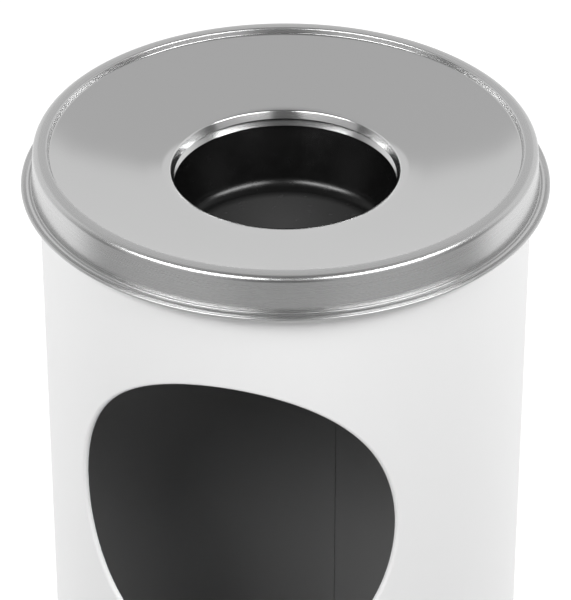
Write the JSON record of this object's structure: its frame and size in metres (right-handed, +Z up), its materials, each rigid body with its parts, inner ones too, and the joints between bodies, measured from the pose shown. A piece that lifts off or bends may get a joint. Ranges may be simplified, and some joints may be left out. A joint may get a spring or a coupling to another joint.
{
  "type": "ashtray bin",
  "caption": "Round white steel litter bin with a side opening, lift-out liner bucket and stainless lid with a stub bowl.",
  "frame": {"origin": "centre of the foot ring's underside, on the floor", "axes": "+Z up along the bin's axis, -Y out through the side opening, +X to the right seen from the front"},
  "size_m": [0.2684, 0.2684, 0.62],
  "materials": {
    "white_body": "semi-gloss powder coat outside, dark primer inside",
    "black_plastic": "matt moulded",
    "black_rubber": "matt extruded",
    "stainless_lid": "satin spun stainless steel",
    "spring_steel": "blued spring strip",
    "polished_steel": "polished",
    "black_enamel": "semi-matt black enamel",
    "galvanised": "hot-dip galvanised, fine spangle",
    "zinc_wire": "bright zinc plate"
  },
  "bodies": {
    "body": {"body_shell": "white_body", "base_pan": "white_body", "floor_ring": "black_plastic", "top_edging": "black_rubber"},
    "lid": {"lid": "stainless_lid", "bowl_clip_1": "spring_steel", "bowl_clip_2": "spring_steel", "bowl_clip_3": "spring_steel"},
    "bowl": {"ash_bowl": "black_enamel", "bowl_collar": "polished_steel"},
    "liner": {"liner_wall": "galvanised", "liner_base": "galvanised", "liner_rim_wire": "zinc_wire", "ear_left": "galvanised", "ear_right": "galvanised", "ear_rivets": "zinc_wire"},
    "handle": {"bail_handle": "zinc_wire", "handle_grip": "black_plastic"}
  },
  "joints": [
    {"name": "lid_lift", "type": "slide", "parent": "body", "child": "lid", "axis": [0, 0, 1], "range_m": [0, 0.2]},
    {"name": "bowl_drop", "type": "slide", "parent": "lid", "child": "bowl", "axis": [0, 0, -1], "range_m": [0, 0.06]},
    {"name": "liner_lift", "type": "slide", "parent": "body", "child": "liner", "axis": [0, 0, 1], "range_m": [0, 0.36]},
    {"name": "handle_swing", "type": "hinge", "parent": "liner", "child": "handle", "pos_m": [0, 0, 0.2263], "axis": [1, 0, 0], "range_deg": [0, 180]}
  ]
}
